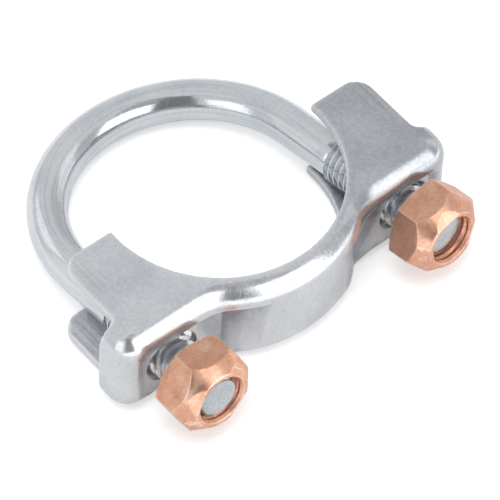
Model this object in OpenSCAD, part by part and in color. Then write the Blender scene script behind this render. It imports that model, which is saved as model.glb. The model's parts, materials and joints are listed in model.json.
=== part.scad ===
// Exhaust-pipe U-bolt clamp: a bent, threaded rod, a stamped saddle and two lock nuts.
// The pipe axis is Z and the middle plane of the bent rod is XY. The legs point to -Y.
// The saddle stands rocked and a little askew on the legs, as it does while the nuts are loose.

/* [Pipe] */
// Diameter of the pipe that the coined inner face of the bow fits
pipe_d = 50; // [40:1:60]
// Radius of the arc cut in the saddle flanges
saddle_arc_r = 26; // [20:0.5:32]

/* [Bent rod] */
// Diameter of the plain rod
rod_d = 8.8; // [8:0.1:9.5]
// How deep the inner face of the bow is coined flat
coin_depth = 0.27; // [0.05:0.01:1]
// Angle by which each leg stands outward
splay = 2; // [0:0.5:4]
// Length of each leg from the end of the bow
leg_len = 44.6; // [36:0.05:60]
// Plain length of each leg before the thread
plain_len = 13.2; // [4:0.1:20]
// Outside diameter of the thread
thread_d = 9.9; // [9.6:0.05:10]
// Root diameter of the thread
thread_root_d = 8.2; // [8:0.05:8.6]
// Thread pitch
pitch = 1.5; // [1.25:0.25:1.75]

/* [Saddle] */
// Thickness of the sheet
sheet_t = 2.3; // [1.5:0.1:3]
// Height of the channel over both flanges
saddle_h = 22.8; // [20:0.1:28]
// Half length of the channel over its closed ends
end_x = 43; // [41:0.5:48]
// Half length over the sides of the flanges
flange_x = 38.9; // [36:0.1:40]
// Where the flange tips end, from the centre of the arc
tip_y = 1.8; // [0:0.1:4]
// Where the closed ends begin, from the centre of the arc
end_y = -15.9; // [-20:0.1:-12]
// Front face of the web, from the centre of the arc
front_y = -23.9; // [-26:0.1:-22]
// Outside radius of the arched middle of the web
arch_r = 30.8; // [29:0.1:33]
// Outside radius of the bends
bend_r = 5.2; // [3:0.1:7]
// Radius of the outer corner of each flange tip
tip_r = 4.4; // [1:0.1:8]
// Depth of the flat nut seats
seat_depth = 0.65; // [0.2:0.05:1]
// Diameter of the holes for the legs
hole_d = 12.7; // [11:0.1:13]
// Angle by which the loose saddle is rocked
rock = 7.75; // [0:0.25:9]
// Angle by which the loose saddle stands askew between the nuts
askew = 2.4; // [-3:0.1:3]
// Sideways play of the loose saddle
saddle_x = 0.6; // [-1:0.05:1]
// Distance of the saddle arc centre below the pipe axis
saddle_y = -7.65; // [-10:0.05:0]
// Height of the middle of the saddle over the middle plane of the rod
saddle_z = 3.9; // [0:0.05:4.5]

/* [Nuts] */
// Width across the flats
nut_af = 17; // [16:1:18]
// Height of the nut
nut_h = 9.6; // [8:0.1:11]
// Height of the hexagon at its corners
hex_h = 5.8; // [3:0.1:8]
// Diameter of the bore
nut_bore_d = 10; // [9.9:0.01:10.1]
// Outside diameter of the round rim
rim_d = 13; // [11.5:0.1:15]
// Distance of the left nut's bearing face along its leg
nut_left_s = 36; // [34:0.1:40]
// Distance of the right nut's bearing face along its leg
nut_right_s = 37.1; // [34:0.1:40]
// Turn of the left nut about its leg
left_turn = 54; // [0:1:59]
// Turn of the right nut about its leg
right_turn = 11; // [0:1:59]

/* [Hidden] */
rod_r = rod_d / 2;
bow_r = pipe_d / 2 + rod_r - coin_depth;
leg_x = bow_r * cos(splay);
leg_y = bow_r * sin(splay);
half_h = saddle_h / 2;
// Where the leg axis crosses the saddle front
hole_y = saddle_y + front_y * cos(rock);
hole_x = leg_x + (leg_y - hole_y) * tan(splay);
tip_chamfer = 0.9;
// Each leg reaches this far into the bow
joint_lap = 0.3;
thread_n = floor((leg_len - plain_len - tip_chamfer) / pitch);
fillet_r = 1.6;
seat_x0 = 17.4;
seat_x1 = 39.4;
seat_r = 1.5;
cut = 80;

steel = [0.74, 0.77, 0.8];
zinc = [0.8, 0.83, 0.86];
copper = [0.8, 0.52, 0.4];

// Puts a leg-shaped child, drawn along +Z, onto the left (-1) or right (1) leg
module on_leg(side) {
    translate([side * leg_x, leg_y, 0])
        rotate([0, 0, side * splay])
            rotate([90, 0, 0])
                children();
}

// One ridge of the thread as a closed section: root, flank, crest, flank
function ridge(i) = [
    [thread_root_d / 2, i * pitch + 0.12],
    [thread_d / 2, i * pitch + 0.6],
    [thread_d / 2, i * pitch + 0.9],
    [thread_root_d / 2, i * pitch + 1.38]
];

// Threaded end of a leg, from its first ridge to the flat end
module thread() {
    length = leg_len - plain_len;
    rotate_extrude($fn = 64)
        polygon(concat(
            [[0, -1], [thread_root_d / 2, -1]],
            [for (i = [0 : thread_n - 1]) each ridge(i)],
            [
                [thread_root_d / 2, length - tip_chamfer],
                [thread_d / 2 - 0.1, length - tip_chamfer],
                [thread_d / 2 - tip_chamfer, length],
                [0, length]
            ]
        ));
}

// Bow of the rod
module bow() {
    rotate([0, 0, splay])
        rotate_extrude(angle = 180 - 2 * splay, $fn = 180)
            translate([bow_r, 0])
                circle(r = rod_r, $fn = 64);
}

// The whole rod, its inner face coined to the round of the pipe
module u_bolt() {
    color(steel)
        difference() {
            union() {
                bow();
                for (side = [-1, 1])
                    on_leg(side) {
                        translate([0, 0, -joint_lap])
                            cylinder(r = rod_r - 0.02, h = plain_len + joint_lap, $fn = 64);
                        translate([0, 0, plain_len])
                            thread();
                    }
            }
            cylinder(r = pipe_d / 2, h = 4 * rod_d, center = true, $fn = 180);
        }
}

// Rectangle with round corners, half sizes a and b
module round_rect(a, b, r) {
    square([2 * (a - r), 2 * b], center = true);
    square([2 * a, 2 * (b - r)], center = true);
    for (x = [-1, 1], y = [-1, 1])
        translate([x * (a - r), y * (b - r)])
            circle(r = r, $fn = 64);
}

// Straight part of the pressed channel, moved inward by an inset: a box open
// at the back, its long edges, short edges and front corners all bent round
module channel(inset) {
    r = bend_r - inset;
    x1 = end_x - inset - r;
    z1 = half_h - inset - r;
    y1 = front_y + inset + r;
    long = 40;
    translate([-x1, y1, -z1 - r])
        cube([2 * x1, long, 2 * (z1 + r)]);
    translate([-x1 - r, y1, -z1])
        cube([2 * (x1 + r), long, 2 * z1]);
    translate([-x1, y1 - r, -z1])
        cube([2 * x1, r + 1, 2 * z1]);
    for (z = [-1, 1])
        translate([0, y1, z * z1])
            rotate([0, 90, 0])
                cylinder(r = r, h = 2 * x1, center = true, $fn = 64);
    for (x = [-1, 1]) {
        translate([x * x1, y1, 0])
            cylinder(r = r, h = 2 * z1, center = true, $fn = 64);
        for (z = [-1, 1])
            translate([x * x1, y1, z * z1]) {
                sphere(r = r, $fn = 64);
                rotate([-90, 0, 0])
                    cylinder(r = r, h = long, $fn = 64);
            }
    }
}

// Arched middle of the pressed channel, a disc with round edges
module arch(inset) {
    r = bend_r - inset;
    rotate_extrude($fn = 180)
        intersection() {
            round_rect(arch_r - inset, half_h - inset, r);
            translate([0, -cut / 2])
                square([cut, cut]);
        }
}

// Outline of the blank seen along the pipe axis
module blank_outline() {
    translate([-end_x - 1, -cut])
        square([2 * end_x + 2, cut + end_y]);
    translate([0, tip_y - 40])
        round_rect(flange_x, 40, tip_r);
    for (side = [-1, 1])
        difference() {
            translate([side * (flange_x + fillet_r / 2), end_y + fillet_r / 2])
                square(fillet_r, center = true);
            translate([side * (flange_x + fillet_r), end_y + fillet_r])
                circle(r = fillet_r, $fn = 48);
        }
}

// Flat seats pressed into the web under the nuts
module seat_cuts() {
    seat_b = half_h - bend_r;
    for (side = [-1, 1])
        translate([side * (seat_x0 + seat_x1) / 2, front_y + seat_depth, 0])
            rotate([90, 0, 0])
                linear_extrude(height = 20)
                    round_rect((seat_x1 - seat_x0) / 2, seat_b, seat_r);
}

module saddle_square() {
    difference() {
        intersection() {
            union() {
                channel(0);
                arch(0);
            }
            linear_extrude(height = cut, center = true)
                blank_outline();
        }
        channel(sheet_t);
        arch(sheet_t);
        cylinder(r = saddle_arc_r, h = cut, center = true, $fn = 180);
        seat_cuts();
        for (side = [-1, 1])
            translate([side * hole_x, front_y, 0])
                rotate([90, 0, 0])
                    cylinder(r = hole_d / 2, h = 12, center = true, $fn = 64);
    }
}

module saddle() {
    color(zinc)
        translate([saddle_x, saddle_y, saddle_z])
            rotate([rock, 0, 0])
                rotate([0, 0, -askew])
                    saddle_square();
}

// Lock nut: a hexagon that a long cone narrows to a round rim
module nut() {
    corner_r = nut_af / 2 / cos(30);
    slope = (corner_r - rim_d / 2) / (nut_h - hex_h);
    difference() {
        intersection() {
            cylinder(r = corner_r, h = nut_h, $fn = 6);
            rotate_extrude($fn = 96)
                polygon([
                    [0, 0],
                    [nut_af / 2 - 0.2, 0],
                    [corner_r + 0.1, 0.75],
                    [corner_r + 0.1, hex_h - 0.1 / slope],
                    [rim_d / 2 + 0.25, nut_h - 0.25 / slope],
                    [rim_d / 2 - 0.15, nut_h],
                    [0, nut_h]
                ]);
        }
        translate([0, 0, -1])
            cylinder(r = nut_bore_d / 2, h = nut_h + 2, $fn = 64);
        translate([0, 0, nut_h - 0.7])
            cylinder(r1 = nut_bore_d / 2, r2 = nut_bore_d / 2 + 0.71, h = 0.71, $fn = 64);
        translate([0, 0, -0.01])
            cylinder(r1 = nut_bore_d / 2 + 0.51, r2 = nut_bore_d / 2, h = 0.51, $fn = 64);
    }
}

module nut_left() {
    color(copper)
        on_leg(-1)
            translate([0, 0, nut_left_s])
                rotate([0, 0, left_turn])
                    nut();
}

module nut_right() {
    color(copper)
        on_leg(1)
            translate([0, 0, nut_right_s])
                rotate([0, 0, right_turn])
                    nut();
}

u_bolt();
saddle();
nut_left();
nut_right();
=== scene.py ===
# %% [markdown]
# # An exhaust clamp in four pieces
# A bent and threaded rod goes round a pipe, a pressed steel saddle closes the ring, and two
# copper-plated lock nuts pull the saddle tight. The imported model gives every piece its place
# and size, so this lesson starts by loading it. The box of that model is kept, because the
# detailed pieces that follow have to fit inside it.

import json
import math

import bmesh
import bpy
from mathutils import Matrix, Vector


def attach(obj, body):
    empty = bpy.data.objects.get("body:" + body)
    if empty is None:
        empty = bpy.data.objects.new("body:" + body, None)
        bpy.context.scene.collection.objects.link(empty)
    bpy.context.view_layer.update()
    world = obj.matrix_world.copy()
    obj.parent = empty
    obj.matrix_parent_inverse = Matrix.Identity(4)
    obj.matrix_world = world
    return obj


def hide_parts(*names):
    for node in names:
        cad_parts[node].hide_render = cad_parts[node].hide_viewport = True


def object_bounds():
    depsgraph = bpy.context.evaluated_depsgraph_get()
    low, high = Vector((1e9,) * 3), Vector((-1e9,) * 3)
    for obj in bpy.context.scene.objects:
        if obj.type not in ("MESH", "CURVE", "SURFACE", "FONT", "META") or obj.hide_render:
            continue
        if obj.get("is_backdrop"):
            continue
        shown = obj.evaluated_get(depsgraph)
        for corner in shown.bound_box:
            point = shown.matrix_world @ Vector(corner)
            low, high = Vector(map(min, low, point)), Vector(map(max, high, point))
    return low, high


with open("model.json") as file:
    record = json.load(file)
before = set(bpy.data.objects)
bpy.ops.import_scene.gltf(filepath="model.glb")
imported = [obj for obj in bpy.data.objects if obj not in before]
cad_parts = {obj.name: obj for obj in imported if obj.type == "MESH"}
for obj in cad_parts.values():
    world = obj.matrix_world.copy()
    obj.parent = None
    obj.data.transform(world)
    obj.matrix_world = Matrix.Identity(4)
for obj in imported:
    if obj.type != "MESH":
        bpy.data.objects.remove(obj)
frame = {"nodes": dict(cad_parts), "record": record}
cad_low, cad_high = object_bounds()
record = frame["record"]
print("pieces:", sorted(frame["nodes"]))
print("box in mm:", [round(1000 * v, 1) for v in cad_high - cad_low])

# %% [markdown]
# ## Places and sizes
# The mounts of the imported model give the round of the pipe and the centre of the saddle's arc.
# Reading them here, instead of writing them again, keeps the pieces in step with the model. The
# other sizes of the rod follow. A clamp is small, and Blender's modelling operators are at ease
# with sizes near one, so the pieces are drawn in millimetres and brought to metres at the end.

# %% Read the places
MM = 0.001
UP = Vector((0, 0, 1))
mounts = {m["name"]: m for m in record["mounts"]}
saddle_centre = Vector(mounts["saddle_arc"]["pos_m"]) / MM
pipe_r = mounts["pipe_seat"]["dims"]["r_mm"]
print("saddle centre:", saddle_centre, "pipe radius:", pipe_r)

# %% Sizes of the rod in millimetres
rod_r = 4.4
coin_depth = 0.27
bow_r = pipe_r + rod_r - coin_depth
splay = math.radians(2)
leg_len = 44.6
plain_len = 13.2
thread_r = 4.95
root_r = 4.1
pitch = 1.5
leg_foot = Vector((bow_r * math.cos(splay), bow_r * math.sin(splay), 0))
print("the bow's middle line has a radius of", bow_r)

# %% [markdown]
# ## Small helpers
# Everything below is built with the operators that a person would click: add a primitive,
# open it in edit mode, select by place, extrude, scale, spin, cut. These helpers do what the
# mouse would do: clear the selection, pick the points that pass a test, and apply a modifier.
# Two places that are nearer than 0.01 mm count as the same.

# %% Helpers for selecting and editing
near = 0.01


def rest():
    """Leaves edit mode with nothing selected."""
    if bpy.context.mode != "OBJECT":
        bpy.ops.object.mode_set(mode="OBJECT")
    bpy.ops.object.select_all(action="DESELECT")


def choose(obj):
    """Makes one object the only selected and active one."""
    rest()
    obj.select_set(True)
    bpy.context.view_layer.objects.active = obj
    return obj


def newest(name):
    """Names what was just added and settles its place into its mesh."""
    obj = bpy.context.active_object
    obj.name = name
    bpy.ops.object.transform_apply(location=True, rotation=True, scale=True)
    return obj


def pick(obj, test, kind="VERT"):
    """Opens the object in edit mode and selects the points, edges or faces that pass a test."""
    if bpy.context.mode != "EDIT_MESH":
        choose(obj)
        bpy.ops.object.mode_set(mode="EDIT")
    bpy.ops.mesh.select_mode(type=kind)
    bpy.ops.mesh.select_all(action="DESELECT")
    mesh = bmesh.from_edit_mesh(obj.data)
    for part in {"VERT": mesh.verts, "EDGE": mesh.edges, "FACE": mesh.faces}[kind]:
        if test(part):
            part.select_set(True)
    mesh.select_flush_mode()
    bmesh.update_edit_mesh(obj.data)


def pick_all(obj):
    """Opens the object in edit mode with everything selected."""
    pick(obj, lambda v: True)


def apply_modifier(obj, kind, **settings):
    """Adds a modifier, sets it and applies it."""
    choose(obj)
    modifier = obj.modifiers.new(kind.title(), kind)
    for key, value in settings.items():
        setattr(modifier, key, value)
    bpy.ops.object.modifier_apply(modifier=modifier.name)


def carve(obj, tool, operation="DIFFERENCE"):
    """Cuts, joins or keeps the shared part of two closed shapes, and throws the tool away."""
    apply_modifier(obj, "BOOLEAN", object=tool, operation=operation, solver="EXACT")
    bpy.data.objects.remove(tool, do_unlink=True)


def settle(obj, matrix):
    """Places a mesh and leaves its object at the origin, unturned and unscaled."""
    choose(obj)
    obj.matrix_world = matrix
    bpy.ops.object.transform_apply(location=True, rotation=True, scale=True)


def outward(obj):
    """Merges doubled points and turns all faces outward."""
    pick_all(obj)
    bpy.ops.mesh.remove_doubles(threshold=0.001)
    bpy.ops.mesh.normals_make_consistent(inside=False)
    rest()


def draw_line(name, points):
    """Keeps one corner of a plane and extrudes it from point to point."""
    rest()
    first = Vector(points[0])
    bpy.ops.mesh.primitive_plane_add(size=2, location=first + Vector((1, 1, 0)))
    obj = newest(name)
    pick(obj, lambda v: (v.co - first).length > near)
    bpy.ops.mesh.delete(type="VERT")
    bpy.ops.mesh.select_all(action="SELECT")
    for a, b in zip(points, points[1:]):
        step = Vector(b) - Vector(a)
        bpy.ops.mesh.extrude_region_move(TRANSFORM_OT_translate={"value": step})
    rest()
    return obj


def turn_on_lathe(name, points, steps=96):
    """Spins an outline, given as radius and height, into a closed round body."""
    obj = draw_line(name, [(r, 0, z) for r, z in points])
    pick_all(obj)
    bpy.ops.mesh.spin(steps=steps, angle=2 * math.pi, center=(0, 0, 0), axis=(0, 0, 1))
    outward(obj)
    return obj


def stand_up(name, plan, low, high):
    """Fills a plan and stands it up between two levels."""
    obj = draw_line(name, [(x, y, low) for x, y in plan])
    pick_all(obj)
    bpy.ops.mesh.edge_face_add()
    bpy.ops.mesh.extrude_region_move(TRANSFORM_OT_translate={"value": (0, 0, high - low)})
    outward(obj)
    return obj


def cylinder(name, **settings):
    """Adds a cylinder with nothing else selected."""
    rest()
    bpy.ops.mesh.primitive_cylinder_add(**settings)
    return newest(name)


def count(obj):
    print(obj.name, "has", len(obj.data.polygons), "faces")


# %% [markdown]
# ## The bow of the rod
# The rod is plain steel wire, 8.8 mm thick, bent round a former. Its inner face is then coined
# against the round of a pipe, which leaves a narrow flat band with a sharp lip on either side.
# A circle is enough to start: its inner points are flattened onto the pipe, the two points at
# the edges of the band are drawn out into the lip, and a spin carries the outline round. The
# circle has 0.03 mm of slack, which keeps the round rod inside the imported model's box.

# %% Bend the bow
slack = 0.03
lip_stretch = 1.1
rest()
bpy.ops.mesh.primitive_circle_add(
    vertices=72, radius=rod_r - slack, location=(bow_r, 0, 0), rotation=(math.pi / 2, 0, 0)
)
rod = newest("bent_rod")
pick(rod, lambda v: v.co.x < pipe_r + near)
bpy.ops.transform.resize(value=(0, 1, 1), center_override=(pipe_r, 0, 0))
band = max(v.co.z for v in bmesh.from_edit_mesh(rod.data).verts if v.select)
pick(rod, lambda v: abs(v.co.x - pipe_r) < near and abs(v.co.z) > band - 0.05)
bpy.ops.transform.resize(value=(1, 1, lip_stretch), center_override=(pipe_r, 0, 0))
rest()
settle(rod, Matrix.Rotation(splay, 4, "Z"))
pick_all(rod)
bpy.ops.mesh.spin(
    steps=140, angle=math.pi - 2 * splay, center=(0, 0, 0), axis=(0, 0, -1)
)
rest()
print("the coined band is", round(2 * band, 2), "mm wide")
count(rod)

# %% [markdown]
# ## The plain part of each leg
# The legs leave the bow in a straight line, two degrees outward. The open ring at each end of
# the bow is extruded down its leg. The last two rings shrink, as they do on the real rod where
# the rolled thread begins, and the last one is closed. Each lead-in step is a length and a share.

# %% Draw the legs down from the bow
plain_steps = (plain_len - 3.0, 2.8)
lead_in = ((0.5, 0.955), (0.6, 0.95))


def foot_of(side):
    """Where the left (-1) or right (1) leg leaves the bow."""
    return Vector((side * leg_foot.x, leg_foot.y, 0))


def leg_matrix(side):
    """Stands something that was drawn along +Z onto the left (-1) or right (1) leg."""
    turn = Matrix.Rotation(side * splay, 4, "Z") @ Matrix.Rotation(math.pi / 2, 4, "X")
    return Matrix.Translation(foot_of(side)) @ turn


def extend(step):
    bpy.ops.mesh.extrude_region_move(TRANSFORM_OT_translate={"value": step})


for side in (-1, 1):
    foot = foot_of(side)
    along = Vector((side * math.sin(splay), -math.cos(splay), 0))
    pick(rod, lambda v: abs((v.co - foot).dot(along)) < near and (v.co - foot).length < 2 * rod_r)
    for step in plain_steps:
        extend(along * step)
    for step, shrink in lead_in:
        extend(along * step)
        bpy.ops.transform.resize(value=(shrink,) * 3)
    bpy.ops.mesh.edge_face_add()
outward(rod)
count(rod)

# %% [markdown]
# ## The thread
# A rolled thread is one long helix, not a stack of rings. The outline of a single tooth is
# drawn once and the Screw modifier winds it down the leg, 1.5 mm for each turn. Rolling pushes
# metal up, so the crests stand proud of the plain rod and the first turn grows out of it. The
# far end is cut square with a bisect, and its crests are pressed in to make the chamfer. The
# thread starts 0.7 mm before the plain part ends, sunk below its surface, and it has its full
# height after about one and a half turns.

# %% Sizes of the thread in millimetres
tooth = [(root_r, 0), (root_r, 0.33), (thread_r, 0.8), (thread_r, 1.03), (root_r, pitch)]
run_in = 0.7
sunk_r = root_r - 0.3
growth = 1.4 * pitch
tip_chamfer = 0.9
thread_start = plain_len - run_in
turns = math.ceil((leg_len - thread_start) / pitch) + 1
print(turns, "turns on each leg")


# %% Wind the thread
def wind(name, outline, start, turns, steps=40):
    """Winds a tooth outline, given as radius and height, into a helix from start upward."""
    obj = draw_line(name, [(r, 0, start + z) for r, z in outline])
    apply_modifier(
        obj, "SCREW", angle=2 * math.pi, screw_offset=pitch, iterations=turns, steps=steps,
        render_steps=steps, use_merge_vertices=True, merge_threshold=0.001,
    )
    outward(obj)
    return obj


def press_round(obj, limit):
    """Presses points in to the radius that the limit gives for their height."""
    for v in obj.data.vertices:
        most = limit(v.co.z)
        radius = math.hypot(v.co.x, v.co.y)
        if radius > most:
            v.co.x *= most / radius
            v.co.y *= most / radius


def smooth_step(t):
    """Rises gently from 0 to 1."""
    t = min(max(t, 0.0), 1.0)
    return t * t * (3 - 2 * t)


def thread_limit(z):
    """The thread grows out of the rod at its start and is chamfered at its end."""
    grown = sunk_r + (thread_r - sunk_r) * smooth_step((z - thread_start) / growth)
    return min(grown, thread_r, thread_r - (z - (leg_len - tip_chamfer)))


def wind_leg(side):
    """Winds one thread, cuts it to length and sets it in its place on the leg."""
    thread = wind("thread", tooth, thread_start, turns)
    pick_all(thread)
    bpy.ops.mesh.bisect(plane_co=(0, 0, leg_len), plane_no=UP, use_fill=True, clear_outer=True)
    rest()
    press_round(thread, thread_limit)
    outward(thread)
    settle(thread, leg_matrix(side))
    return thread


threads = [wind_leg(side) for side in (-1, 1)]
choose(rod)
for thread in threads:
    thread.select_set(True)
bpy.ops.object.join()
rod.name = "bent_rod"
count(rod)

# %% [markdown]
# ## Shading the rod
# A round bar should shade smoothly, and the edges of the coined band and of the thread should
# stay crisp. Smoothing by angle does both, once the shallow edges of the band, which it would
# smooth over, are marked sharp by hand.

# %% Shade the rod
def on_band_edge(edge):
    """True on the two long edges of the coined band."""
    a, b = (v.co for v in edge.verts)
    middle = (a + b) / 2
    level = abs(abs(a.z) - lip_stretch * band) < 0.03 and abs(a.z - b.z) < near
    return level and math.hypot(middle.x, middle.y) < pipe_r + 0.05


pick(rod, on_band_edge, "EDGE")
bpy.ops.mesh.mark_sharp()
choose(rod)
bpy.ops.object.shade_smooth_by_angle(angle=math.radians(32))
settle(rod, Matrix.Scale(MM, 4))
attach(rod, "bolt")
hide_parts("u_bolt")
print("the rod is smoothed by angle")

# %% [markdown]
# ## The saddle
# The saddle is one blank of 2.3 mm sheet, pressed into a channel with closed, rounded ends and
# an arched middle. Its outer skin is one plan, of the arch, the hollow beside it and the rounded
# end, which is stood up and has its long edges bevelled. Its inner skin is the same, one sheet
# thickness smaller, and the sheet is what lies between them. The plan runs on behind the saddle,
# and its corners have 0.05 mm more room than the bevel needs. The outline of the blank and the
# round of the pipe are then cut through the sheet, as the press tool does.

# %% Sizes of the saddle in millimetres
sheet_t = 2.3
half_h = 11.4
end_x = 43.0
flange_x = 38.9
tip_y = 1.8
end_y = -15.9
front_y = -23.9
arch_r = 30.8
bend_r = 5.2
hollow_r = 11.0
tip_r = 4.4
fillet_r = 1.6
saddle_arc_r = 26.0
rock = math.radians(7.75)
askew = math.radians(2.4)
behind = 40
bevel_room = 0.05
print("saddle arc radius:", saddle_arc_r)


# %% Press the skins
def arc(centre, radius, start, end, steps):
    """Points along an arc, with its angles in degrees."""
    angles = (math.radians(start + (end - start) * k / steps) for k in range(steps + 1))
    return [(centre[0] + radius * math.cos(a), centre[1] + radius * math.sin(a)) for a in angles]


def half_plan(inset):
    """The plan of the right half: the arch, the hollow beside it and the rounded end."""
    arch, hollow, corner = arch_r - inset, hollow_r + inset, bend_r - inset + bevel_room
    front, end = front_y + inset, end_x - inset
    middle_y = front - hollow
    middle_x = math.sqrt((arch + hollow) ** 2 - middle_y**2)
    lean = math.degrees(math.atan2(middle_y, middle_x))
    points = arc((0, 0), arch, -90, lean, 36)
    points += arc((middle_x, middle_y), hollow, lean + 180, 90, 12)
    points += arc((end - corner, front + corner), corner, -90, 0, 10)
    return points + [(end, behind)]


def skin(inset):
    """Stands the plan up to the height of the channel and rounds its long edges."""
    right = half_plan(inset)
    plan = [(-x, y) for x, y in reversed(right[1:])] + right
    z = half_h - inset
    obj = stand_up("skin", plan, -z, z)
    pick(obj, lambda e: abs(e.verts[0].co.z - e.verts[1].co.z) < near, "EDGE")
    bpy.ops.mesh.bevel(offset=bend_r - inset, segments=12, affect="EDGES")
    rest()
    return obj


saddle = skin(0)
carve(saddle, skin(sheet_t))
saddle.name = "pressed_saddle"
count(saddle)


# %% Cut the outline and the round of the pipe
slab_y = -60
slab_z = 20


def upright_corner(edge, x, y):
    """True on an upright edge at the given distance from the middle, on either side."""
    a, b = (v.co for v in edge.verts)
    upright = abs(a.x - b.x) < near and abs(a.y - b.y) < near
    return upright and abs(abs(a.x) - x) < near and abs(a.y - y) < near


def slab(name, half_x, high_y):
    """An upright block from far in front of the saddle to a given line."""
    rest()
    low, high = Vector((-half_x, slab_y, -slab_z)), Vector((half_x, high_y, slab_z))
    bpy.ops.mesh.primitive_cube_add(size=1, location=(low + high) / 2, scale=high - low)
    return newest(name)


def round_corners(obj, x, y, radius, segments):
    pick(obj, lambda e: upright_corner(e, x, y), "EDGE")
    bpy.ops.mesh.bevel(offset=radius, segments=segments, affect="EDGES")
    rest()


outline = slab("blank", flange_x, tip_y)
round_corners(outline, flange_x, tip_y, tip_r, 10)
carve(outline, slab("ends", end_x + 1, end_y), "UNION")
round_corners(outline, flange_x, end_y, fillet_r, 6)
carve(saddle, outline, "INTERSECT")
carve(saddle, cylinder("pipe_round", vertices=180, radius=saddle_arc_r, depth=60))
count(saddle)

# %% [markdown]
# ## Soft edges of pressed sheet
# A press never leaves a razor edge: the bends flow into one another and the cut rim rolls over
# where the punch drags it. Remeshing the sheet into small even faces and smoothing them gives
# exactly that, all over at once.

# %% Roll the edges over
apply_modifier(saddle, "REMESH", mode="VOXEL", voxel_size=0.3, use_smooth_shade=True)
apply_modifier(saddle, "SMOOTH", factor=0.5, iterations=6)
count(saddle)

# %% [markdown]
# ## Seats and holes
# Under each nut the sheet is struck flat a little deeper, and the edge of that seat is the one
# crisp crease on the saddle, so it is cut after the smoothing. Two punches strike it. The flat
# one goes down into the lower bend, and its outer end slopes up with rounded corners. The inner
# one runs out through the lower bend and presses in the foot of the arch as well, along a curve
# from the seat to the arch. The holes are wider than the legs, which lets the saddle rock while
# the nuts are loose.

# %% Sizes of the punches in millimetres
seat_x0, seat_x1 = 17.4, 39.4
seat_y = front_y + 0.65
seat_top = half_h - bend_r + 0.3
foot_x = 24
foot_curve = ((15.6, -25.4), (13.6, -27.05), (11.6, -28.35), (9.5, -29.3))
clear_y = -34
slope_end = (seat_x1 + 1.1, front_y - 0.4)
hole_r = 6.35
hole_y = saddle_centre.y + front_y * math.cos(rock)
hole_x = leg_foot.x + (leg_foot.y - hole_y) * math.tan(splay)
print("the holes stand", round(hole_x, 2), "mm from the middle")


# %% Strike the seats and punch the holes
def seat_punch(side):
    """The flat punch under the nut."""
    plan = [
        (seat_x1 - 1.4, seat_y), (seat_x0, seat_y), (seat_x0, clear_y), (seat_x1 + 6, clear_y),
        slope_end,
    ]
    obj = stand_up("seat", [(side * x, y) for x, y in plan], -seat_top - sheet_t, seat_top)
    pick(obj, lambda e: all(abs(v.co.x) > seat_x1 - 1.5 for v in e.verts)
         and abs(e.verts[0].co.y - e.verts[1].co.y) > 0.5, "EDGE")
    bpy.ops.mesh.bevel(offset=2.4, segments=8, affect="EDGES")
    rest()
    return obj


def foot_punch(side):
    """The inner punch, which also presses in the foot of the arch."""
    plan = [
        (foot_x, seat_y), (seat_x0, seat_y), *foot_curve, (foot_curve[-1][0], clear_y),
        (foot_x, clear_y),
    ]
    return stand_up("foot", [(side * x, y) for x, y in plan], -half_h - 2, seat_top)


for side in (-1, 1):
    carve(saddle, seat_punch(side))
    carve(saddle, foot_punch(side))
    carve(saddle, cylinder(
        "hole", vertices=64, radius=hole_r, depth=12, location=(side * hole_x, front_y, 0),
        rotation=(math.pi / 2, 0, 0),
    ))
choose(saddle)
bpy.ops.object.shade_smooth_by_angle(angle=math.radians(38))
saddle_matrix = (
    Matrix.Translation(saddle_centre)
    @ Matrix.Rotation(rock, 4, "X")
    @ Matrix.Rotation(-askew, 4, "Z")
)
settle(saddle, Matrix.Scale(MM, 4) @ saddle_matrix)
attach(saddle, "saddle")
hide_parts("saddle")
count(saddle)

# %% [markdown]
# ## The lock nuts
# These are all-metal lock nuts: a 17 mm hexagon below, a long cone above, and three crimps in
# the cone that squeeze the thread. A turned body is trimmed to a hexagonal prism, which gives
# the curved borders of the flats, and three slanting cuts make the crimps. The bore is turned
# out with a few grooves at its mouth, the only turns of its thread that show. A fine remesh
# softens every edge as the plating does. Each size given by side is for the left (-1) and right
# (1) nut: how far along its leg it sits, how it is turned, and where its crimps are, in degrees.

# %% Sizes of a nut in millimetres
nut_af = 17.0
nut_h = 9.6
hex_h = 5.8
rim_r = 6.5
bore_r = 5.0
corner_r = nut_af / 2 / math.cos(math.radians(30))
slope = (corner_r - rim_r) / (nut_h - hex_h)
nut_s = {-1: 36.0, 1: 37.1}
nut_turn = {-1: math.radians(54), 1: math.radians(11)}
crimp_turns = {-1: (-14, 96, 258), 1: (-33, 89, 210)}
crimp_tilt = math.radians(55)
crimp_depth = 0.8
groove = ((0, 0), (0.6, 0.5), (0.75, 0.5), (1.3, 0))
groove_base = nut_h - 5.0
print("corner radius", round(corner_r, 2))


# %% Forge a nut
def hexagon_bar():
    return cylinder(
        "hexagon", vertices=6, radius=corner_r, depth=nut_h, location=(0, 0, nut_h / 2),
        rotation=(0, 0, math.radians(30)),
    )


def turned_body():
    return turn_on_lathe("turned", [
        (0, 0),
        (nut_af / 2 - 0.2, 0),
        (corner_r + 0.1, 0.75),
        (corner_r + 0.1, hex_h - 0.1 / slope),
        (rim_r, nut_h),
        (0, nut_h),
    ])


def crimp(nut, turns):
    """Slices a shallow flat off the cone at each of the given angles."""
    for a in map(math.radians, turns):
        outer = Vector((math.cos(a), math.sin(a), 0))
        normal = outer * math.cos(crimp_tilt) + UP * math.sin(crimp_tilt)
        point = outer * (rim_r - crimp_depth) + UP * nut_h
        pick_all(nut)
        bpy.ops.mesh.bisect(plane_co=point, plane_no=normal, use_fill=True, clear_outer=True)
    rest()


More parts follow.
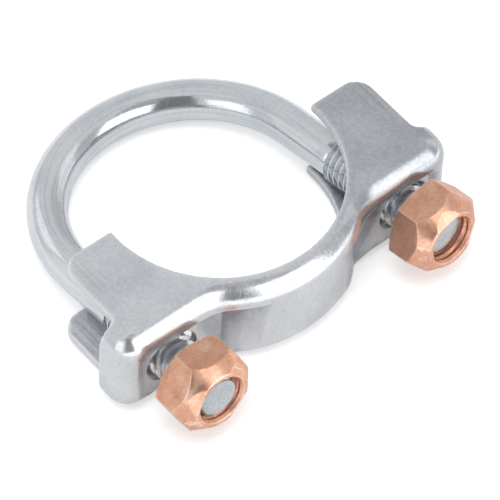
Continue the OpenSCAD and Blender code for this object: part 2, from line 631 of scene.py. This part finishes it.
def bore_out(nut):
    """Turns out the bore. Three grooves stand for the thread at its mouth, the last cut short."""
    grooves = [(groove_base + k * pitch + up, bore_r + out) for k in range(3) for up, out in groove]
    carve(nut, turn_on_lathe("bore", [
        (0, -1),
        (bore_r + 1.1, -1),
        (bore_r, 0.6),
        *((r, z) for z, r in grooves[:-1]),
        (bore_r + 0.05, nut_h - 0.8),
        (bore_r + 0.55, nut_h - 0.1),
        (bore_r + 0.9, nut_h + 1),
        (0, nut_h + 1),
    ]))


def forge_nut(name, side):
    """Makes one nut and sets it on its leg."""
    nut = turned_body()
    nut.name = name
    crimp(nut, crimp_turns[side])
    carve(nut, hexagon_bar(), "INTERSECT")
    bore_out(nut)
    apply_modifier(nut, "REMESH", mode="VOXEL", voxel_size=0.13, use_smooth_shade=True)
    apply_modifier(nut, "SMOOTH", factor=0.5, iterations=3)
    place = Matrix.Translation(UP * nut_s[side]) @ Matrix.Rotation(nut_turn[side], 4, "Z")
    settle(nut, Matrix.Scale(MM, 4) @ leg_matrix(side) @ place)
    choose(nut)
    bpy.ops.object.shade_smooth_by_angle(angle=math.radians(50))
    count(nut)
    return nut


nuts = []
for side, name, body, node in (
    (-1, "lock_nut_left", "left_nut", "nut_left"),
    (1, "lock_nut_right", "right_nut", "nut_right"),
):
    nut = forge_nut(name, side)
    nuts.append(nut)
    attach(nut, body)
    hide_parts(node)

# %% [markdown]
# ## Finishes
# The steel is zinc plated and blue passivated, the nuts are copper plated. All three are
# metals, so their look is mostly reflection: the base colour is the colour of the metal, with
# painted shade in the hollows and a painted highlight on the copper's edges, the roughness
# blurs what it mirrors, and a fine bump gives the grain of the plating.

# %% A metal with grain
class Finish:
    """Adds the nodes of one plated metal, a wire at a time."""

    def __init__(self, name):
        self.material = bpy.data.materials.new(name)
        self.material.use_nodes = True
        self.nodes = self.material.node_tree.nodes
        self.links = self.material.node_tree.links
        self.shader = self.nodes["Principled BSDF"]
        self.shader.inputs["Metallic"].default_value = 1.0
        self.place = self.nodes.new("ShaderNodeTexCoord").outputs["Object"]
        self.normal = None

    def turned(self, turn, shift):
        """The place on the piece, turned and then shifted."""
        node = self.nodes.new("ShaderNodeMapping")
        node.inputs["Rotation"].default_value = turn
        node.inputs["Location"].default_value = shift
        self.links.new(self.place, node.inputs["Vector"])
        return node.outputs["Vector"]

    def wavering(self, amount):
        """The place on the piece, pushed about a little by a slow noise."""
        push = self.nodes.new("ShaderNodeTexNoise")
        push.inputs["Scale"].default_value = 55.0
        self.links.new(self.place, push.inputs["Vector"])
        node = self.nodes.new("ShaderNodeVectorMath")
        node.operation = "MULTIPLY_ADD"
        node.inputs[1].default_value = (amount * MM,) * 3
        self.links.new(push.outputs["Color"], node.inputs[0])
        self.links.new(self.place, node.inputs[2])
        return node.outputs["Vector"]

    def noise(self, scale, detail=4.0, where=None):
        """A noise with so many bumps to the metre."""
        node = self.nodes.new("ShaderNodeTexNoise")
        node.inputs["Scale"].default_value = scale
        node.inputs["Detail"].default_value = detail
        self.links.new(where or self.place, node.inputs["Vector"])
        return node.outputs["Fac"]

    def between(self, value, low, high, at_low, at_high):
        """Maps a value from one range onto another, and clamps it."""
        node = self.nodes.new("ShaderNodeMapRange")
        self.links.new(value, node.inputs["Value"])
        for key, number in (
            ("From Min", low), ("From Max", high), ("To Min", at_low), ("To Max", at_high)
        ):
            node.inputs[key].default_value = number
        return node.outputs["Result"]

    def math(self, operation, a, b=0.0):
        """One sum of two values or numbers."""
        node = self.nodes.new("ShaderNodeMath")
        node.operation = operation
        for socket, value in zip(node.inputs, (a, b)):
            if isinstance(value, (int, float)):
                socket.default_value = value
            else:
                self.links.new(value, socket)
        return node.outputs["Value"]

    def tones(self, value, colours):
        """Mixes from the first colour to the last along a value."""
        node = self.nodes.new("ShaderNodeValToRGB")
        while len(node.color_ramp.elements) < len(colours):
            node.color_ramp.elements.new(0.5)
        for k, (element, colour) in enumerate(zip(node.color_ramp.elements, colours)):
            element.position = k / (len(colours) - 1)
            element.color = (*colour, 1)
        self.links.new(value, node.inputs["Fac"])
        self.links.new(node.outputs["Color"], self.shader.inputs["Base Color"])

    def split(self, vector):
        """The three parts of a vector."""
        node = self.nodes.new("ShaderNodeSeparateXYZ")
        self.links.new(vector, node.inputs["Vector"])
        return node.outputs["X"], node.outputs["Y"], node.outputs["Z"]

    def length(self, a, b):
        """The length of the diagonal of two values."""
        return self.math(
            "SQRT", self.math("ADD", self.math("MULTIPLY", a, a), self.math("MULTIPLY", b, b))
        )

    def edges(self, share):
        """Above zero on edges that stand out, as wear and painted highlight; below zero in hollows,
        as painted shade.
        """
        # Painted light: pointiness makes edges lighter and hollows darker in the base colour.
        shape = self.nodes.new("ShaderNodeNewGeometry").outputs["Pointiness"]
        return self.between(shape, 0.45, 0.55, -share, share)

    def rough(self, value):
        """Sets how far the surface blurs what it mirrors."""
        self.links.new(value, self.shader.inputs["Roughness"])

    def raise_by(self, value, depth, strength=1.0):
        """Adds a relief of the given depth, in millimetres, over what is there."""
        node = self.nodes.new("ShaderNodeBump")
        node.inputs["Strength"].default_value = strength
        node.inputs["Distance"].default_value = depth * MM
        self.links.new(value, node.inputs["Height"])
        if self.normal:
            self.links.new(self.normal, node.inputs["Normal"])
        self.normal = node.outputs["Normal"]
        self.links.new(self.normal, self.shader.inputs["Normal"])

    def scratches(self, turn, width, length, share):
        """Thin lines: the high peaks of a noise that is stretched along one direction."""
        node = self.nodes.new("ShaderNodeMapping")
        node.vector_type = "TEXTURE"
        node.inputs["Rotation"].default_value = turn
        node.inputs["Scale"].default_value = (length * MM, width * MM, length * MM)
        self.links.new(self.wavering(7.0), node.inputs["Vector"])
        peaks = self.noise(1.0, 2.0, node.outputs["Vector"])
        return self.between(peaks, 1 - share, 1 - share + 0.08, 0, 1)

    def cover(self, obj):
        """Gives a piece this finish and no other."""
        obj.data.materials.clear()
        obj.data.materials.append(self.material)


# %% [markdown]
# ### Zinc
# Zinc plate is a cool grey, rubbed bright along its edges, and its hollows are painted darker
# and bluer as painted shade. Its grain is about half a millimetre across.
# Handling leaves fine scratches, which are the peaks of noises stretched along one direction.

# %% Zinc on the sheet and on the rod
def zinc(name, rough_low, rough_high, grain_depth, metallic):
    """A zinc finish, and the value that its tones follow."""
    finish = Finish(name)
    finish.shader.inputs["Metallic"].default_value = metallic
    mottle = finish.between(finish.noise(1300.0, 3.0), 0.3, 0.7, 0, 0.11)
    cloud = finish.between(finish.noise(90.0, 4.0), 0.35, 0.65, 0, 0.12)
    tone = finish.math("ADD", finish.math("ADD", cloud, mottle), 0.26)
    # Painted shade: hollows are made darker and bluer; the lighter edges stand for wear.
    tone = finish.math("ADD", tone, finish.edges(0.25))
    worn = finish.math(
        "MAXIMUM",
        finish.scratches((0, 0, 0.6), 0.12, 5, 0.33),
        finish.scratches((0.3, 0, 2.2), 0.10, 3.5, 0.32),
    )
    rough = finish.between(finish.noise(420.0, 4.0), 0.3, 0.7, rough_low, rough_high)
    finish.rough(finish.math("ADD", rough, finish.math("MULTIPLY", worn, 0.12)))
    finish.raise_by(finish.noise(1900.0, 2.0), grain_depth, 0.7)
    finish.raise_by(finish.noise(300.0, 2.0), 0.03, 0.5)
    finish.raise_by(finish.math("SUBTRACT", 1.0, worn), 0.008, 0.6)
    return finish, tone


sheet_tones = ((0.325, 0.35, 0.385), (0.745, 0.76, 0.785), (0.85, 0.86, 0.87))
wire_tones = ((0.41, 0.46, 0.50), (0.725, 0.75, 0.775), (0.85, 0.865, 0.88))
zinc_sheet, sheet_tone = zinc(
    "zinc_on_sheet", rough_low=0.14, rough_high=0.26, grain_depth=0.025, metallic=0.74
)
zinc_rod, wire_tone = zinc(
    "zinc_on_rod", rough_low=0.08, rough_high=0.18, grain_depth=0.012, metallic=0.84
)
print("zinc from", sheet_tones[0], "to", sheet_tones[-1])

# %% [markdown]
# ### Marks of the press
# The sheet slid over the edge of the die while the channel was drawn, which left straight marks
# along the outer side of each flange. The sheet's colour is also made a little darker towards
# its right end. Both are laid out in the saddle's own square directions. Each mark has
# a distance from the middle, half a width and a height in millimetres, and fades to the front.

# %% Die marks on the flanges
die_marks = ((36.9, 0.45, 0.11), (35.4, 0.25, -0.08), (34.3, 0.2, 0.05))
to_own = Matrix.Rotation(askew, 3, "Z") @ Matrix.Rotation(-rock, 3, "X")
own = zinc_sheet.turned((-rock, 0, askew), -(to_own @ saddle_centre) * MM)
own_x, own_y, _ = zinc_sheet.split(own)
from_middle = zinc_sheet.math("ABSOLUTE", own_x)
fade = zinc_sheet.between(own_y, -14 * MM, -8 * MM, 0, 1)
for place, half_width, height in die_marks:
    off = zinc_sheet.math("ABSOLUTE", zinc_sheet.math("SUBTRACT", from_middle, place * MM))
    mark = zinc_sheet.math("MULTIPLY", zinc_sheet.between(off, half_width * MM, 0, 0, 1), fade)
    mark = zinc_sheet.math("MULTIPLY", mark, math.copysign(1, height))
    zinc_sheet.raise_by(mark, abs(height), 0.8)
# The sheet's tone is made a little darker towards its right end.
darker_rightward = zinc_sheet.between(own_x, -5 * MM, 22 * MM, 0, 0.19)
zinc_sheet.tones(zinc_sheet.math("SUBTRACT", sheet_tone, darker_rightward), sheet_tones)
print(len(die_marks), "marks on each flange")

# %% [markdown]
# ### Drawn wire and the coined band
# Wire is pulled through a die, so its fine streaks run along it, round the bow and down the
# legs. The coined band on the inside of the bow carries marks across it instead, about 0.8 mm
# apart, from the former. The band's marks are laid out by angle about the pipe. The cut ends of
# the legs are darker.

# %% Streaks along the wire and marks across the band
marks_per_radian = 196.0
streak_stretch = 0.0007
cut_from, cut_to = -43.2, -43.35
x, y, z = zinc_rod.split(zinc_rod.place)
angle = zinc_rod.math("ARCTAN2", y, x)
radius = zinc_rod.length(x, y)
across = zinc_rod.length(x, zinc_rod.math("MAXIMUM", y, 0.0))
along = zinc_rod.math("MULTIPLY", angle, streak_stretch)
on_wire = zinc_rod.nodes.new("ShaderNodeCombineXYZ")
for socket, value in zip(on_wire.inputs, (across, z, along)):
    zinc_rod.links.new(value, socket)
streak = zinc_rod.noise(1700.0, 3.0, on_wire.outputs["Vector"])
on_band = zinc_rod.between(radius, (pipe_r + 0.12) * MM, (pipe_r + 0.04) * MM, 0, 1)
in_bow = zinc_rod.between(y, 0, 1 * MM, 0, 1)
waver = zinc_rod.math("MULTIPLY", zinc_rod.noise(160.0, 2.0), 9.0)
marks = zinc_rod.math("ADD", zinc_rod.math("MULTIPLY", angle, marks_per_radian), waver)
marks = zinc_rod.math("SINE", marks)
marks = zinc_rod.math("MULTIPLY", marks, zinc_rod.math("MULTIPLY", on_band, in_bow))
zinc_rod.raise_by(streak, 0.016, 0.6)
zinc_rod.raise_by(marks, 0.03, 0.8)
streaky = zinc_rod.math("MULTIPLY", zinc_rod.math("SUBTRACT", streak, 0.5), 0.6)
cut_end = zinc_rod.between(y, cut_from * MM, cut_to * MM, 0, -0.45)
shade = zinc_rod.math("ADD", wire_tone, streaky)
zinc_rod.tones(zinc_rod.math("ADD", shade, cut_end), wire_tones)
print("band marks are", round(2 * math.pi / marks_per_radian * pipe_r, 2), "mm apart")

# %% [markdown]
# ### Copper
# The copper is thin and satin. It is a little darker in patches where it has tarnished, and it
# shows the short, crossing scratches of nuts that were tumbled together. Its edges carry a
# painted highlight and its hollows painted shade.

# %% Copper on the nuts
copper_tones = ((0.60, 0.29, 0.19), (0.78, 0.43, 0.30), (0.93, 0.68, 0.55))
copper = Finish("copper_on_nut")
patch = copper.math(
    "ADD",
    copper.math("MULTIPLY", copper.noise(230.0, 4.0), 0.7),
    copper.math("MULTIPLY", copper.noise(1500.0, 3.0), 0.3),
)
rub = copper.math(
    "MAXIMUM",
    copper.scratches((0.4, 0.2, 0.5), 0.14, 4, 0.42),
    copper.scratches((0.1, 0.7, 2.0), 0.12, 3, 0.42),
)
# Painted highlight on the edges and painted shade in the hollows, added to the tarnish patches.
shade = copper.math("ADD", copper.between(patch, 0.34, 0.66, 0.15, 0.75), copper.edges(0.5))
copper.tones(copper.math("SUBTRACT", shade, copper.math("MULTIPLY", rub, 0.22)), copper_tones)
rough = copper.between(copper.noise(500.0), 0.3, 0.7, 0.28, 0.4)
copper.rough(copper.math("ADD", rough, copper.math("MULTIPLY", rub, 0.1)))
copper.raise_by(copper.noise(1700.0, 3.0), 0.014, 0.6)
copper.raise_by(rub, 0.012, 0.7)

# %% Put the finishes on
for obj, finish in ((rod, zinc_rod), (saddle, zinc_sheet), *((nut, copper) for nut in nuts)):
    finish.cover(obj)
    print(obj.name, "wears", finish.material.name)

# %% [markdown]
# ## Floor, light and camera
# The clamp lies on a white table, on its bow and on the lower bend of the saddle, so the table
# is tilted a little against the model's own level. The table glows faintly for the camera and
# for reflections, so that it stays white, and it still catches the shadow.

# %% Lay the table
tilt = math.radians(5.9)
glow_in_sight = 0.40
glow_in_mirrors = 0.09
table_up = Vector((0, -math.sin(tilt), math.cos(tilt)))
lowest = min(table_up.dot(v.co) for n in frame["nodes"].values() for v in n.data.vertices)
rest()
bpy.ops.mesh.primitive_plane_add(
    size=6, location=table_up * (lowest - 0.1 * MM), rotation=(tilt, 0, 0)
)
table = bpy.context.active_object
table.name = "table"
table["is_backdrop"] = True
paint = bpy.data.materials.new("white_table")
paint.use_nodes = True
nodes, links = paint.node_tree.nodes, paint.node_tree.links
base = nodes["Principled BSDF"]
base.inputs["Base Color"].default_value = (0.9, 0.9, 0.9, 1)
base.inputs["Roughness"].default_value = 0.9
base.inputs["Specular IOR Level"].default_value = 0.0
white_glow = nodes.new("ShaderNodeEmission")
white_glow.inputs["Color"].default_value = (1, 1, 1, 1)
seen = nodes.new("ShaderNodeLightPath")
in_mirror = nodes.new("ShaderNodeMath")
in_mirror.operation = "MULTIPLY"
in_mirror.inputs[1].default_value = glow_in_mirrors
links.new(seen.outputs["Is Glossy Ray"], in_mirror.inputs[0])
in_sight = nodes.new("ShaderNodeMath")
in_sight.operation = "MULTIPLY_ADD"
in_sight.inputs[1].default_value = glow_in_sight
links.new(seen.outputs["Is Camera Ray"], in_sight.inputs[0])
links.new(in_mirror.outputs["Value"], in_sight.inputs[2])
links.new(in_sight.outputs["Value"], white_glow.inputs["Strength"])
both = nodes.new("ShaderNodeAddShader")
links.new(base.outputs["BSDF"], both.inputs[0])
links.new(white_glow.outputs["Emission"], both.inputs[1])
links.new(both.outputs["Shader"], nodes["Material Output"].inputs["Surface"])
table.data.materials.append(paint)
print("the table lies", round(-lowest / MM, 2), "mm below the model's origin")

# %% [markdown]
# ## What the metal mirrors
# Bright metal has hardly a colour of its own: it shows the room. The panels here stand round
# the table and are seen only by reflections. The tall dark one is the place of the camera, the
# white ones on either side of it are soft boxes, and the grey ones stand between them. Each is a
# plain glowing card, given by the direction it stands in, its width, how high above the table it
# begins and ends, all in degrees, and its level. One more white card lies low in front of the
# clamp, where the outer side of the saddle mirrors it.

# %% Panels round the table
panels_away = 1.5


def glow_paint(name, level):
    """A plain glow of one grey level."""
    material = bpy.data.materials.new(name)
    material.use_nodes = True
    nodes, links = material.node_tree.nodes, material.node_tree.links
    nodes.clear()
    out = nodes.new("ShaderNodeOutputMaterial")
    glow = nodes.new("ShaderNodeEmission")
    glow.inputs["Color"].default_value = (level, level, level, 1)
    links.new(glow.outputs["Emission"], out.inputs["Surface"])
    return material


def mirrored_card(name, place, turn, size, level):
    """A glowing card that only reflections see."""
    rest()
    bpy.ops.mesh.primitive_plane_add(size=1, location=place, rotation=turn)
    card = bpy.context.active_object
    card.name = name
    card.scale = (*size, 1)
    card.data.materials.append(glow_paint(name, level))
    card.visible_camera = False
    card.visible_diffuse = False
    card.visible_shadow = False
    card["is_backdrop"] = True


def panel(name, heading, width, low, high, level):
    """A card that faces the clamp. The heading is from +Y toward +X."""
    a = math.radians(heading)
    bottom, top = (panels_away * math.tan(math.radians(rise)) for rise in (low, high))
    mirrored_card(
        name,
        place=(panels_away * math.sin(a), panels_away * math.cos(a), (bottom + top) / 2),
        turn=(math.pi / 2, 0, -a),
        size=(2 * panels_away * math.tan(math.radians(width / 2)), top - bottom),
        level=level,
    )


for row in (
    ("camera_stand", -147, 36, 2, 66, 0.12),
    ("soft_box_left", -103, 34, 2, 44, 1.55),
    ("soft_box_front", 169, 46, 2, 48, 2.3),
    ("soft_box_right", 103, 26, 2, 44, 1.0),
    ("soft_box_back", -15, 30, 22, 46, 1.15),
    ("grey_stand_left", -50, 26, 2, 44, 0.85),
    ("grey_stand_right", 70, 26, 2, 44, 0.55),
    ("grey_stand_front", 130, 24, 2, 46, 0.55),
    ("grey_ceiling_front", 180, 60, 48, 74, 0.4),
):
    panel(*row)
mirrored_card(
    "white_card_front", place=(0.07, -0.18, -0.0065), turn=(math.radians(-7), 0, 0),
    size=(0.6, 0.245), level=1.9,
)

# %% [markdown]
# ## World, lamp and camera
# An even, nearly white sky fills in from all round. The camera sees it as plain white. One weak
# round lamp above gives the soft shadow, and it is hidden from reflections, which have their
# cards. The long lens stands far back, so the clamp is drawn with little perspective.

# %% World
fill_level = 0.72
world = bpy.data.worlds.new("white_room")
bpy.context.scene.world = world
world.use_nodes = True
background = world.node_tree.nodes["Background"]
background.inputs["Color"].default_value = (0.98, 0.99, 1.0, 1)
nodes, links = world.node_tree.nodes, world.node_tree.links
white = nodes.new("ShaderNodeBackground")
white.inputs["Color"].default_value = (1, 1, 1, 1)
ray = nodes.new("ShaderNodeLightPath")
mixer = nodes.new("ShaderNodeMixShader")
background.inputs["Strength"].default_value = fill_level
links.new(ray.outputs["Is Camera Ray"], mixer.inputs["Fac"])
links.new(background.outputs["Background"], mixer.inputs[1])
links.new(white.outputs["Background"], mixer.inputs[2])
links.new(mixer.outputs["Shader"], nodes["World Output"].inputs["Surface"])
print("the sky has a level of", fill_level)

# %% Lamp
lamp_place = Vector((-0.25, -0.3, 1.2))
bulb = bpy.data.lights.new("lamp_above", "AREA")
bulb.shape = "DISK"
bulb.size = 0.6
bulb.energy = 5
lamp = bpy.data.objects.new("lamp_above", bulb)
bpy.context.scene.collection.objects.link(lamp)
lamp.location = lamp_place
lamp.rotation_mode = "QUATERNION"
lamp.rotation_quaternion = lamp_place.to_track_quat("Z", "Y")
lamp.visible_glossy = False
print("the lamp gives", bulb.energy, "W")

# %% Camera
focal = 315.8
eye = Vector((-0.37189, -0.48640, 0.65449))
look = Vector((0.419427, 0.527797, -0.738588))
roll = math.radians(-4.6633)
camera = bpy.data.objects.new("camera", bpy.data.cameras.new("camera"))
bpy.context.scene.collection.objects.link(camera)
camera.data.lens = focal
camera.data.sensor_width = 36
camera.location = eye
camera.rotation_mode = "QUATERNION"
camera.rotation_quaternion = look.to_track_quat("-Z", "Y")
camera.rotation_quaternion @= Matrix.Rotation(roll, 3, "Z").to_quaternion()
bpy.context.scene.camera = camera
bpy.context.scene.view_settings.view_transform = "Standard"
print("the camera stands", round(eye.length, 3), "m away")

# %% [markdown]
# ## The two boxes
# The box of the imported model and the box of the detailed pieces are printed side by side, so
# that one can see whether the pieces stay inside the model.

# %% Write the two boxes and finish
now_low, now_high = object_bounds()
sizes = [list(v) for v in (cad_low, cad_high, now_low, now_high)]
for title, corner in zip(("CAD low", "CAD high", "visual low", "visual high"), sizes):
    print(title, "corner, mm:", [round(1000 * v, 2) for v in corner])
